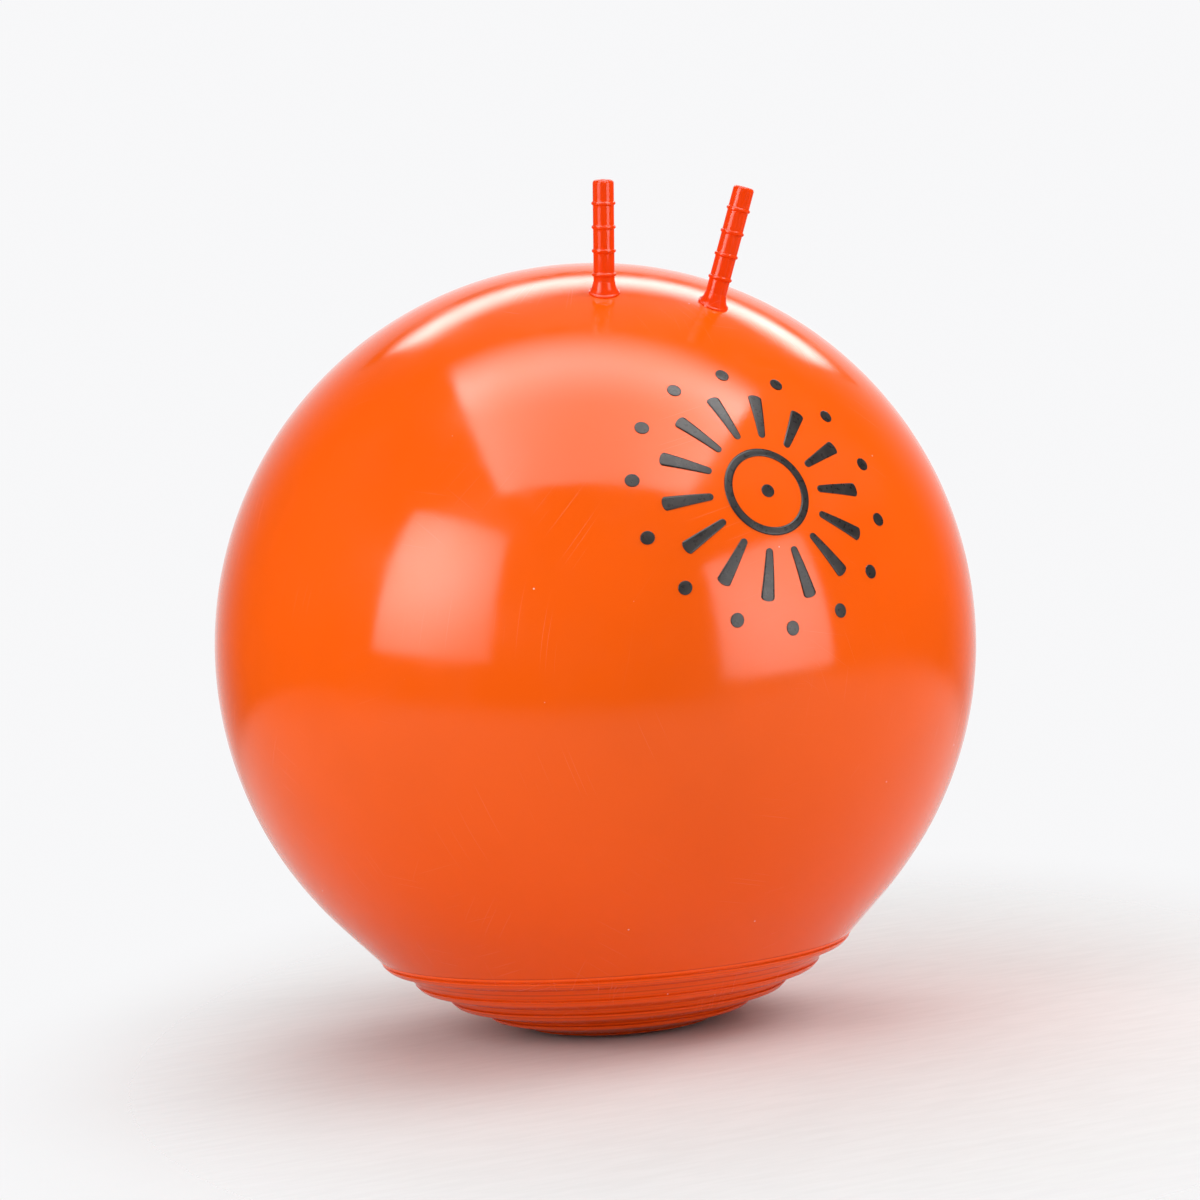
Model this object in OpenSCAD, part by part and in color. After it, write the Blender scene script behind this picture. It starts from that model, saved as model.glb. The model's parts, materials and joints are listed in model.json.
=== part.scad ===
// Hopper ball: a hollow bouncing ball with two finger horns, a ribbed standing base and a plug valve.
// Millimetres, +Z up, front towards -Y, origin on the floor under the centre of the ball.

/* [Ball] */
// Outer radius of the inflated ball
ball_r = 300; // [270:5:330]
// Thickness of the ball's wall
skin_wall = 1; // [0.8:0.1:2]
// Width of the straight stretch of wall round the base, from the base's rim outwards
straight_w = 28.5; // [20:0.5:34]

/* [Ribbed base] */
// Radius of the base at its upper rim
base_rim_r = 187; // [165:1:200]
// How far the edge of the first rib lies inside the rim
rim_set = 5.5; // [4:0.5:8]
// How much smaller the base's own curve is than the ball
base_inset = 8; // [6:0.5:12]
// How far the centre of the base's curve lies below the centre of the ball
base_drop = 17.5; // [15:0.5:20]
// How deep the base's curve is flattened where it stands
foot_flat = 6.5; // [5:0.5:8]
// Thickness of the base's wall
base_wall = 3; // [2:0.2:4]
// Width of the lip that stands up inside the ball's lower edge
lip_w = 3; // [2:0.5:6]
// Number of round ribs
rib_count = 5; // [3:1:5]
// Distance from rib to rib along the base's curve
rib_pitch = 30.5; // [26:0.5:32]
// Slope of a rib's steep upper side, in degrees
riser_slope = 47; // [43:1:58]
// Slope of a rib's flat underside, in degrees
tread_slope = 15.5; // [12:0.5:17]
// Rounding of a rib's edge
rib_round = 9; // [5:0.5:12]
// Radius of the hollow under the base
recess_r = 42; // [30:1:50]
// Depth of the hollow under the base
recess_h = 4; // [2:0.5:8]

/* [Horns] */
// Tilt of the pair of horns from the top towards the front, in degrees
horn_forward = 27.6; // [15:0.2:35]
// Turn of the pair about its own middle, in degrees
horn_turn = -21; // [-30:1:30]
// Distance between the roots of the two horns
horn_gap = 84; // [70:1:110]
// Backward lean of each horn from the ball's own surface, in degrees
horn_rake = 17; // [0:1:22]
// Height of the left horn's neck above the ball
left_neck_h = 20; // [14:0.5:26]
// Height of the right horn's neck above the ball
right_neck_h = 13; // [12:0.5:26]
// Length of a horn from its neck to its tip
horn_len = 71; // [60:1:90]
// Outer diameter of a horn's tube
horn_d = 16; // [14:0.5:20]
// Diameter of the air passage inside a horn
horn_bore = 12; // [8:0.5:13]
// Number of grip beads above the neck
bead_count = 3; // [1:1:3]
// Distance from bead to bead
bead_pitch = 17.75; // [12:0.25:18.5]
// Height of a bead along the horn
bead_w = 3.2; // [2.4:0.2:6]
// How far a bead stands out from the tube
bead_rise = 1.1; // [0.6:0.1:1.2]
// Radius of the rounded tip
tip_dome_r = 11; // [10.5:0.5:20]
// Radius of the dimple in the tip
dimple_r = 2.5; // [1:0.5:4]
// Depth of the dimple in the tip
dimple_h = 0.8; // [0.4:0.1:1]
// Wall of the collar around the neck
collar_wall = 1; // [0.8:0.1:2]
// How far the flared root spreads beyond the collar
flare_spread = 4.5; // [3:0.5:7]
// Radius of the flare's hollow curve
flare_curve_r = 8; // [7.5:0.5:10]
// Height above the ball at which the flare begins
flare_h = 6.2; // [4:0.2:7]

/* [Valve] */
// Tilt of the valve from the top towards the rear, in degrees
valve_tilt = 60; // [45:1:80]
// Diameter of the thick boss that holds the plug
boss_d = 26; // [20:1:36]
// Depth of the boss below the ball's surface
boss_h = 13; // [9:0.5:18]
// Diameter of the filling hole
valve_bore_d = 7; // [5:0.5:9]
// Diameter of the recess for the plug's head
head_recess_d = 15; // [12:0.5:17]
// Depth of the recess for the plug's head, at its middle
head_recess_h = 2.6; // [2:0.2:4]
// Thickness of the plug's head
plug_head_h = 2; // [1:0.2:3]
// Length of the plug's stem below its head
plug_stem_l = 14; // [8:0.5:16]
// Number of grooves round the stem
stem_grooves = 3; // [1:1:3]
// Width of a groove
groove_w = 1.6; // [0.8:0.2:2]
// Depth of a groove
groove_h = 0.5; // [0.2:0.1:0.8]
// Radius of the fingernail notch beside the plug's head
nail_r = 3.5; // [2:0.5:4]

/* [Print] */
// Tilt of the print's middle from the top towards the front, in degrees
print_tilt = 67.6; // [55:0.2:80]
// Thickness of the ink
ink_h = 0.25; // [0.1:0.05:0.4]
// Outer radius of the print's ring
print_ring_r = 34; // [26:1:40]
// Width of the ring's line
print_line_w = 6; // [3:0.5:9]
// Number of rays
ray_count = 14; // [6:1:18]
// Radius at which the rays start
ray_start_r = 44; // [42:1:50]
// Radius at which the rays end
ray_end_r = 82; // [70:1:88]
// Width of a ray at its inner end
ray_inner_w = 5; // [3:0.5:8]
// Width of a ray at its outer end
ray_outer_w = 11; // [6:0.5:16]
// Radius of the circle of dots
dot_ring_r = 100; // [96:1:112]
// Diameter of a dot
dot_d = 10; // [4:0.5:14]

/* [Fits] */
// Gap between the ball's lower edge and the base
edge_gap = 0.3; // [0.2:0.05:0.5]
// Gap between a horn's neck and its socket
neck_gap = 0.3; // [0.2:0.05:0.5]
// Radial clearance of the plug's stem in the filling hole
stem_gap = 0.05; // [0.02:0.01:0.1]
// Gap round and under the plug's head
head_gap = 0.3; // [0.2:0.05:0.5]

/* [Hidden] */
$fn = 180;
// Cuts run this far past the faces that they open
past = 20;
left = 1;
right = -1;

// The base's own curve, and the heights of the two centres above the floor
cap_r = ball_r - base_inset;
cap_z = cap_r - foot_flat;
ball_z = cap_z + base_drop;
// The ball's lower edge and its inner face
edge_r = base_rim_r + edge_gap;
inner_r = ball_r - skin_wall;
// Angle from the top at which the wall leaves the ball's curve and runs straight down to the base
straight_from = 180 - asin((edge_r + straight_w) / ball_r);
// The base's lip reaches up to the inner face of the straight wall
lip_z = ball_z + inner_r * cos(straight_from) + (inner_r * sin(straight_from) - edge_r) * tan(straight_from);
// The edges of the ribs lie on the base's curve, one step apart
rib_step = rib_pitch / cap_r * 180 / PI;
first_angle = asin((base_rim_r - rim_set) / cap_r);
// Slope in the middle of a rib's edge, and half of the edge's turn
edge_slope = (riser_slope + tread_slope) / 2;
edge_turn = (riser_slope - tread_slope) / 2;
// Each horn turns in a round socket at its neck
horn_side = asin(horn_gap / 2 / ball_r);
neck_r = horn_d / 2 + bead_rise;
socket_r = neck_r + neck_gap;
// The socket ends this far below the middle of the neck, as an angle
socket_open = 20;
collar_drop = socket_r * sin(socket_open);
collar_r = socket_r + collar_wall;
// A bead is a round ring, sunk so that it stands out by its rise
bead_r = (pow(bead_w / 2, 2) + pow(bead_rise, 2)) / (2 * bead_rise);
// A circle of this radius leaves a dimple of the wanted width and depth
dimple_curve_r = (pow(dimple_r, 2) + pow(dimple_h, 2)) / (2 * dimple_h);
// The tube's closed end is as thick as its wall, and the end face of the dimple stays clear of it
horn_wall = (horn_d - horn_bore) / 2;
tip_wall = horn_wall + dimple_h + tip_dome_r - sqrt(pow(tip_dome_r, 2) - pow(horn_bore / 2, 2));

ball_colour = "#f2601c";
rib_colour = "#e5521a";
horn_colour = "#d93d12";
plug_colour = "#efece2";
ink_colour = "#17120f";

// Moves a shape from the origin to the centre of the ball
module at_ball() {
    translate([0, 0, ball_z])
        children();
}

// Stands a shape on the ball at the root of one horn, along the horn's own axis
module at_horn(side) {
    at_ball()
        rotate([horn_forward, 0, 0])
            rotate([0, 0, horn_turn])
                rotate([0, side * horn_side, 0])
                    translate([0, 0, ball_r])
                        rotate([-horn_rake, 0, 0])
                            children();
}

// Stands a shape on the ball's surface at the valve
module at_valve() {
    at_ball()
        rotate([-valve_tilt, 0, 0])
            translate([0, 0, ball_r])
                children();
}

module ball_solid(r) {
    at_ball()
        sphere(r);
}

// The ball with the straight stretch of its wall, which runs on to just inside the base
module ball_form(r) {
    start_r = r * sin(straight_from);
    start_z = r * cos(straight_from);
    low_r = edge_r - past;
    run = (low_r - start_r) * tan(straight_from);
    at_ball() {
        sphere(r);
        translate([0, 0, start_z - run])
            cylinder(r1 = low_r, r2 = start_r, h = run);
    }
}

// The ball's thin wall, open for the base, the two air passages and the valve's boss
module ball_skin() {
    color(ball_colour)
        difference() {
            ball_form(ball_r);
            ball_form(inner_r);
            translate([0, 0, -past])
                cylinder(r = edge_r, h = ball_z + past);
            for (side = [left, right])
                at_horn(side)
                    translate([0, 0, -past])
                        cylinder(d = horn_bore, h = 2 * past);
            at_valve()
                translate([0, 0, -past])
                    cylinder(d = boss_d, h = 2 * past);
        }
}

// Everything above one rib in section: a flat underside, a rounded edge and a steep upper side.
// With a depth, the same lines lie that far inside the rib's surface.
module rib_section(index, depth) {
    angle = first_angle - index * rib_step;
    round_set = rib_round / cos(edge_turn);
    middle_x = cap_r * sin(angle) - round_set * sin(edge_slope);
    middle_z = cap_z - cap_r * cos(angle) + round_set * cos(edge_slope);
    r = rib_round - depth;
    tread_x = middle_x + r * sin(tread_slope);
    tread_z = middle_z - r * cos(tread_slope);
    riser_x = middle_x + r * sin(riser_slope);
    riser_z = middle_z - r * cos(riser_slope);
    translate([middle_x, middle_z])
        circle(r = r);
    polygon([
        [0, ball_z],
        [0, tread_z - tread_x * tan(tread_slope)],
        [tread_x, tread_z],
        [riser_x, riser_z],
        [ball_r, riser_z + (ball_r - riser_x) * tan(riser_slope)],
        [ball_r, ball_z + ball_r]
    ]);
}

module stepped_section(depth) {
    for (index = [0 : rib_count - 1])
        rib_section(index, depth);
}

module base_outer_section() {
    intersection() {
        stepped_section(0);
        square([base_rim_r, lip_z]);
    }
}

module base_hollow_section() {
    intersection() {
        stepped_section(base_wall);
        translate([0, recess_h + base_wall])
            square([base_rim_r - lip_w, ball_z]);
    }
}

// The thick lower cap: a stepped wall of ribs, the flat ring that it stands on and the hollow inside that ring
module ribbed_base() {
    color(rib_colour)
        rotate_extrude()
            difference() {
                base_outer_section();
                base_hollow_section();
                square([recess_r, recess_h]);
            }
}

module collar_section(neck_h) {
    rim_z = neck_h - collar_drop;
    difference() {
        union() {
            translate([0, flare_h])
                square([collar_r, rim_z - flare_h]);
            difference() {
                translate([0, -past])
                    square([collar_r + flare_spread, past + flare_h]);
                translate([collar_r + flare_curve_r, flare_h])
                    circle(r = flare_curve_r);
            }
        }
        translate([0, -past])
            square([horn_bore / 2, 2 * past + neck_h]);
        translate([0, neck_h])
            circle(r = socket_r);
    }
}

// The flared root of a horn, cut to the ball's surface, with a round socket for the neck
module horn_collar(side, neck_h) {
    color(horn_colour)
        difference() {
            at_horn(side)
                rotate_extrude()
                    collar_section(neck_h);
            ball_solid(ball_r);
        }
}

module horn_outer_section() {
    intersection() {
        union() {
            square([horn_d / 2, horn_len]);
            circle(r = neck_r);
            for (index = [1 : bead_count])
                translate([horn_d / 2 + bead_rise - bead_r, index * bead_pitch])
                    circle(r = bead_r);
        }
        translate([0, horn_len - tip_dome_r])
            union() {
                circle(r = tip_dome_r);
                translate([0, -horn_len])
                    square([2 * tip_dome_r, horn_len]);
            }
        translate([0, -neck_r])
            square([2 * neck_r, horn_len + neck_r]);
    }
}

// A hollow finger horn with a round neck, grip beads and a closed, dimpled tip
module horn(side, neck_h) {
    color(horn_colour)
        at_horn(side)
            translate([0, 0, neck_h])
                rotate_extrude()
                    difference() {
                        horn_outer_section();
                        translate([0, -past])
                            square([horn_bore / 2, past + horn_len - tip_wall]);
                        translate([0, horn_len + dimple_curve_r - dimple_h])
                            circle(r = dimple_curve_r);
                    }
}

module left_horn_collar() {
    horn_collar(left, left_neck_h);
}

module right_horn_collar() {
    horn_collar(right, right_neck_h);
}

module left_horn() {
    horn(left, left_neck_h);
}

module right_horn() {
    horn(right, right_neck_h);
}

// The thick boss round the filling hole, flush with the ball, with a recess for the plug's head
module valve_seat() {
    color(ball_colour)
        difference() {
            intersection() {
                at_valve()
                    translate([0, 0, -boss_h])
                        cylinder(d = boss_d, h = boss_h + past);
                ball_solid(ball_r);
            }
            at_valve() {
                translate([0, 0, -past - boss_h])
                    cylinder(d = valve_bore_d, h = 2 * past + boss_h);
                translate([0, 0, -head_recess_h])
                    cylinder(d = head_recess_d, h = past);
                translate([0, head_recess_d / 2, -head_recess_h])
                    cylinder(r = nail_r, h = past);
            }
        }
}

module plug_section() {
    head_r = head_recess_d / 2 - head_gap;
    stem_r = valve_bore_d / 2 - stem_gap;
    groove_pitch = plug_stem_l / (stem_grooves + 1);
    difference() {
        union() {
            translate([0, head_gap])
                square([head_r, plug_head_h]);
            translate([0, -plug_stem_l])
                square([stem_r, plug_stem_l + head_gap]);
        }
        for (index = [1 : stem_grooves])
            translate([stem_r - groove_h, -index * groove_pitch - groove_w / 2])
                square([stem_r, groove_w]);
    }
}

// The push-in stopper: a flat head and a grooved stem that runs in the filling hole
module valve_plug() {
    color(plug_colour)
        at_valve()
            translate([0, 0, -head_recess_h])
                rotate_extrude()
                    plug_section();
}

module print_layout() {
    turn = 360 / ray_count;
    difference() {
        circle(r = print_ring_r);
        circle(r = print_ring_r - print_line_w);
    }
    circle(d = dot_d);
    for (index = [0 : ray_count - 1])
        rotate(index * turn)
            polygon([
                [ray_start_r, -ray_inner_w / 2],
                [ray_end_r, -ray_outer_w / 2],
                [ray_end_r, ray_outer_w / 2],
                [ray_start_r, ray_inner_w / 2]
            ]);
    for (index = [0 : ray_count - 1])
        rotate((index + 0.5) * turn)
            translate([dot_ring_r, 0])
                circle(d = dot_d);
}

// The print: a ring, rays and dots of ink that lie on the ball's surface
module front_print() {
    color(ink_colour)
        intersection() {
            difference() {
                ball_solid(ball_r + ink_h);
                ball_solid(ball_r);
            }
            at_ball()
                rotate([print_tilt, 0, 0])
                    linear_extrude(height = ball_r + past)
                        print_layout();
        }
}

ball_skin();
ribbed_base();
left_horn_collar();
right_horn_collar();
left_horn();
right_horn();
valve_seat();
valve_plug();
front_print();
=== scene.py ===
import json
import math

import bmesh
import bpy
from mathutils import Matrix, Vector, noise


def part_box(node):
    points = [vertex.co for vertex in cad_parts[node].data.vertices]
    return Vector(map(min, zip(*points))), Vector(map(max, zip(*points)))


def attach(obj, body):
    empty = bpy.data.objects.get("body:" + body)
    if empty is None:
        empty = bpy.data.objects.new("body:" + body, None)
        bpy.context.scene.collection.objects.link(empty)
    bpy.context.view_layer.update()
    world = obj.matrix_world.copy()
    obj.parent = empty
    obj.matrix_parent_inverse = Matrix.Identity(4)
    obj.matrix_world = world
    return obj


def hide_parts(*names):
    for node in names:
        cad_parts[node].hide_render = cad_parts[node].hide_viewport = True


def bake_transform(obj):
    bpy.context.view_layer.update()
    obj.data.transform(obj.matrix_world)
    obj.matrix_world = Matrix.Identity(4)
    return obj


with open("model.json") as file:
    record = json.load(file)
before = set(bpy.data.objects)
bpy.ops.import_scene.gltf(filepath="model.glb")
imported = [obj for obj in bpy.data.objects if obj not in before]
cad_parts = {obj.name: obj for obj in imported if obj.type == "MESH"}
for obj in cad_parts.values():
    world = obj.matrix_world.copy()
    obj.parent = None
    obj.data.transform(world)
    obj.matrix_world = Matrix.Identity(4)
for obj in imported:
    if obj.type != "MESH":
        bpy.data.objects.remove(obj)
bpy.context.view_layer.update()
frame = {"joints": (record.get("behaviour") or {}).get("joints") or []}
joints = {joint["name"]: joint for joint in frame["joints"]}
scene = bpy.context.scene
scene.view_settings.view_transform = "Standard"

# The ball, from its CAD node
MM = 0.001
skin_low, skin_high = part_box("ball_skin")
BALL_R = round((skin_high.x - skin_low.x) / 2, 3)
BALL = Vector((0, 0, round(skin_high.z, 3) - BALL_R))
SKIN_WALL = 1 * MM
STRAIGHT_W = 28.5 * MM
WAVE = 0.2 * MM
WAVE_LENGTH = 120 * MM
CALM_H = 60 * MM

# The stepped base
base_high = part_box("ribbed_base")[1]
RIM_R = round(base_high.x, 4)
LIP_Z = base_high.z
LIP_W = 3 * MM
EDGE_GAP = 0.3 * MM
STRAIGHT_FROM = math.pi - math.asin((RIM_R + EDGE_GAP + STRAIGHT_W) / BALL_R)
CAP_R = BALL_R - 8 * MM
CAP_Z = BALL.z - 17.5 * MM
RIM_SET = 5.5 * MM
RIB_COUNT = 5
RIB_PITCH = 30.5 * MM
RIB_ROUND = 9 * MM
RISER = math.radians(47)
TREAD = math.radians(15.5)
LEDGE = 1.2 * MM
LEDGE_UP = 6 * MM
RECESS_R = 42 * MM
RECESS_H = 4 * MM

# The horns
HORN_FORWARD = math.radians(27.6)
HORN_TURN = math.radians(-21)
HORN_GAP = 84 * MM
HORN_RAKE = math.radians(17)
HORN_LEN = 71 * MM
HORN_R = 8 * MM
BEAD_COUNT = 4
BEAD_PITCH = 17.75 * MM
BEAD_W = 3.2 * MM
BEAD_RISE = 1.1 * MM
FLARE_R = 11.8 * MM
FLARE_H = 8 * MM
DIMPLE_R = 2.5 * MM
DIMPLE_H = 0.8 * MM

# The valve
VALVE_TILT = math.radians(60)
BOSS_R = 13 * MM
BOSS_H = 13 * MM
VALVE_BORE_R = 3.5 * MM
HEAD_RECESS_R = 7.5 * MM
HEAD_RECESS_H = 2.6 * MM
HEAD_GAP = 0.3 * MM
HEAD_H = 2 * MM
STEM_R = 3.45 * MM
STEM_L = 14 * MM
STEM_GROOVES = 3
GROOVE_W = 1.6 * MM
GROOVE_H = 0.5 * MM
NAIL_R = 3.5 * MM
HOLE_CLEAR = 6 * MM

# The print
PRINT_TILT = math.radians(67.6)
INK_H = 0.25 * MM
PRINT_RING_R = 34 * MM
PRINT_LINE_W = 6 * MM
RAY_COUNT = 14
RAY_START_R = 44 * MM
RAY_END_R = 82 * MM
RAY_INNER_W = 5 * MM
RAY_OUTER_W = 11 * MM
DOT_RING_R = 100 * MM
DOT_R = 5 * MM

# How finely the shapes are cut
BALL_RINGS = 150
BALL_STEPS = 256
HOLE_RINGS = 5
BASE_STEPS = 320
HORN_STEPS = 64
VALVE_STEPS = 120
PLUG_STEPS = 72
CIRCLE_STEPS = 160
DOT_STEPS = 36
RAY_STEPS = 30
FLOOR_STEPS = 96

# The camera, from the ball's outline in the photograph
PHOTO_SIZE = 1200
PHOTO_BALL_X = 595.5
PHOTO_BALL_Y = 643
PHOTO_BALL_R = 381
CAMERA_AZIMUTH = math.radians(-28.2)
CAMERA_ELEVATION = math.radians(3.08)
CAMERA_ROLL = math.radians(3.83)
CAMERA_DISTANCE = 2.7
SENSOR = 36

# Colours of the studio
BACKGROUND = (0.935, 0.935, 0.945, 1)
SKY = (1, 0.985, 0.97, 1)
WHITE = (1, 1, 1, 1)
STUDIO_DARK = (0.025, 0.022, 0.022, 1)

# Brightness of the lamps, as radiance where 1 is white
CEILING_LIGHT = 0.6
LEFT_LIGHT = 3.9
RIGHT_LIGHT = 1.9
LEFT_FILL = 1.2
RIGHT_FILL = 5.4
REAR_FILL = 3.9
FRONT_FILL = 0.3
SKY_LIGHT = 0.56

# Brightness of the cards, which only reflections see
CEILING_CARD = 4.7
LEFT_CARD = 14.3
RIGHT_CARD = 8.0
REAR_CARD = 5.5

# How far the dark screen stands in front of the ball's centre
SCREEN_AHEAD = 210 * MM


def smooth_step(low, high, value):
    t = min(1, max(0, (value - low) / (high - low)))
    return t * t * (3 - 2 * t)


# Meshes

def loft(name, rows):
    """A mesh through rows of points, each a closed loop of equal length or one point at a pole."""
    points = []
    faces = []
    for above, below in zip(rows, rows[1:]):
        a = len(points)
        b = a + len(above)
        points.extend(above)
        count = max(len(above), len(below))
        for i in range(count):
            j = (i + 1) % count
            if len(above) == 1:
                faces.append((a, b + i, b + j))
            elif len(below) == 1:
                faces.append((a + i, b, a + j))
            else:
                faces.append((a + i, b + i, b + j, a + j))
    points.extend(rows[-1])
    mesh = bpy.data.meshes.new(name)
    mesh.from_pydata(points, [], faces)
    mesh.shade_smooth()
    return mesh


def revolve(name, profile, steps, matrix=Matrix.Identity(4)):
    """A mesh from a profile of (radius, height) that turns about the matrix's own Z axis."""
    turns = [math.tau * i / steps for i in range(steps)]
    rows = []
    for r, z in profile:
        if r < 1e-7:
            rows.append([matrix @ Vector((0, 0, z))])
        else:
            rows.append([matrix @ Vector((r * math.cos(a), r * math.sin(a), z)) for a in turns])
    return loft(name, rows)


def rounded_path(corners, step, arc_step=math.radians(9)):
    """Points along a bent line of (x, z, rounding) corners, with straight runs cut to short steps."""
    path = [Vector(corners[0][:2])]
    for before, corner, after in zip(corners, corners[1:], corners[2:]):
        here = Vector(corner[:2])
        back = (Vector(before[:2]) - here).normalized()
        onward = (Vector(after[:2]) - here).normalized()
        half = back.angle(onward) / 2
        if corner[2] == 0 or half > math.radians(89.5):
            path.append(here)
            continue
        middle = here + (back + onward).normalized() * corner[2] / math.sin(half)
        arm = here + back * corner[2] / math.tan(half) - middle
        turn = math.pi - 2 * half
        if back.cross(onward) > 0:
            turn = -turn
        count = max(2, math.ceil(abs(turn) / arc_step))
        for i in range(count + 1):
            path.append(middle + Matrix.Rotation(turn * i / count, 2) @ arm)
    path.append(Vector(corners[-1][:2]))
    points = [path[0]]
    for start, end in zip(path, path[1:]):
        count = max(1, math.ceil((end - start).length / step))
        points.extend(start.lerp(end, (i + 1) / count) for i in range(count))
    return points


def fill(mesh, bm):
    """Moves the faces of a bm to a mesh, shaded smooth."""
    bm.normal_update()
    bm.to_mesh(mesh)
    bm.free()
    mesh.shade_smooth()
    return mesh


def add_object(name, data):
    made = bpy.data.objects.new(name, data)
    scene.collection.objects.link(made)
    return made


def piece(name, mesh, material, slot, *nodes):
    """A visible piece that stands for the named CAD nodes."""
    made = add_object(name, mesh)
    mesh.materials.append(material)
    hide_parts(*nodes)
    return made


# Shader nodes

def node(tree, kind, inputs=None, **settings):
    """A shader node with its settings and inputs, each a value or another node's output."""
    made = tree.nodes.new(kind)
    for key, value in settings.items():
        setattr(made, key, value)
    for key, value in (inputs or {}).items():
        if isinstance(value, bpy.types.NodeSocket):
            tree.links.new(value, made.inputs[key])
        else:
            made.inputs[key].default_value = value
    return made


def maths(tree, operation, a, b=0.0):
    return node(tree, "ShaderNodeMath", {0: a, 1: b}, operation=operation).outputs[0]


def product(tree, *values):
    """All the values multiplied together."""
    total = values[0]
    for value in values[1:]:
        total = maths(tree, "MULTIPLY", total, value)
    return total


def squares(tree, x, y):
    """The squares of x and y, added up."""
    return maths(tree, "ADD", maths(tree, "POWER", x, 2.0), maths(tree, "POWER", y, 2.0))


def distance(tree, x, y):
    """The distance of the point x, y from the origin."""
    return maths(tree, "SQRT", squares(tree, x, y))


def vector_maths(tree, operation, a, b=(0, 0, 0)):
    made = node(tree, "ShaderNodeVectorMath", {0: a, 1: b}, operation=operation)
    return made.outputs["Value" if operation == "DOT_PRODUCT" else "Vector"]


def parts_of(tree, vector):
    """The X, Y and Z of a vector."""
    return node(tree, "ShaderNodeSeparateXYZ", {"Vector": vector}).outputs


def remap(tree, value, low, high, to_low=0.0, to_high=1.0):
    inputs = {"Value": value, "From Min": low, "From Max": high, "To Min": to_low, "To Max": to_high}
    return node(tree, "ShaderNodeMapRange", inputs, interpolation_type="SMOOTHSTEP").outputs[0]


def mix_colour(tree, factor, a, b):
    inputs = {0: factor, 6: a, 7: b}
    return node(tree, "ShaderNodeMix", inputs, data_type="RGBA").outputs[2]


def noise_at(tree, coords, size, detail=2.0, rough=0.5):
    inputs = {"Vector": coords, "Scale": 1 / size, "Detail": detail, "Roughness": rough}
    return node(tree, "ShaderNodeTexNoise", inputs).outputs["Fac"]


def chances(tree, cells):
    """The random numbers that belong to each cell, as the colours Red, Green and Blue."""
    return node(tree, "ShaderNodeSeparateColor", {"Color": cells.outputs["Color"]}).outputs


def new_material(name):
    made = bpy.data.materials.new(name)
    made.use_nodes = True
    made.node_tree.nodes.clear()
    return made, made.node_tree


def place(tree):
    """Points in metres, in the object's own frame."""
    return node(tree, "ShaderNodeTexCoord").outputs["Object"]


def show(tree, shader):
    node(tree, "ShaderNodeOutputMaterial", {"Surface": shader.outputs[0]})


def show_plastic(tree, tint, gloss, height, bump_strength, bump_depth, ior):
    """Ends a material as a plastic of that colour, gloss and IOR with a fine bump."""
    inputs = {"Height": height, "Strength": bump_strength, "Distance": bump_depth}
    bump = node(tree, "ShaderNodeBump", inputs).outputs[0]
    inputs = {"Base Color": tint, "Roughness": gloss, "Normal": bump, "IOR": ior}
    show(tree, node(tree, "ShaderNodeBsdfPrincipled", inputs))


# The vinyl's colours, and the heights between which the brighter orange painted low down fades out, a
# painted glow in place of the light that the thin wall lets through
BALL_ORANGE = (0.81, 0.096, 0.003, 1)
BASE_ORANGE = (0.92, 0.083, 0.003, 1)
HORN_ORANGE = (0.76, 0.045, 0.002, 1)
PAINTED_GLOW_ORANGE = (0.95, 0.094, 0.002, 1)
PALE_MARK = (0.90, 0.40, 0.22, 1)
DUST = (0.90, 0.78, 0.70, 1)
DEEP_SHARE = 0.93
DARK_SHARE = 0.55
PAINTED_GLOW_LOW = 50 * MM
PAINTED_GLOW_HIGH = 270 * MM

# How strongly each mark on the vinyl shows in its colour, its roughness and its height, and how
# strongly the painted glow low down and the painted shade in the base's folds show
PAINTED_GLOW_TINT = 0.9
CLOUD_TINT = 0.2
MARK_TINT = 0.11
DUST_TINT = 0.65
TRACK_TINT = 0.65
CREASE_SHADE_TINT = 0.7
MARK_ROUGH = 0.36
SMUDGE_ROUGH = (-0.025, 0.045)
PEEL_HEIGHT = 0.25
MARK_HEIGHT = -0.6
TRACK_HEIGHT = 0.9

# Sizes of the vinyl's cloudy pigment and marks on its surface, and the reach of the painted shade in
# the base's folds
CLOUD = 140 * MM
FINE_CLOUD = 16 * MM
WORN_PATCH = 110 * MM
SMUDGE = 45 * MM
PEEL = 2.2 * MM
MOULD_TRACK = 1.8 * MM
CREASE_SHADE_REACH = 4 * MM
DUST_SPACING = 19 * MM
DUST_SIZE = 0.8 * MM
SCRATCH_SPACING = (300 * MM, 1.9 * MM, 1)
SCRATCH_REACH = (0.03, 0.12)
SCRATCH_TURNS = [0.25, 0.9, 1.35, 1.9, 2.5, 2.95]
SCRATCH_BENDS = 9.0
SCRATCH_DRIFT = (12 * MM, 12 * MM, 0)


def shaded(colour, share):
    """A colour at a share of its brightness."""
    return [channel * share for channel in colour[:3]] + [1]


def unrolled(tree, coords):
    """Points on the ball as lengths round it and up it, so that lines in them follow its surface."""
    ahead = vector_maths(tree, "NORMALIZE", vector_maths(tree, "ADD", coords, -BALL))
    parts = parts_of(tree, ahead)
    turn = maths(tree, "ARCTAN2", parts["X"], product(tree, parts["Y"], -1.0))
    rise = maths(tree, "ARCSINE", parts["Z"])
    inputs = {"X": product(tree, turn, BALL_R), "Y": product(tree, rise, BALL_R)}
    return node(tree, "ShaderNodeCombineXYZ", inputs).outputs[0]


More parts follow.
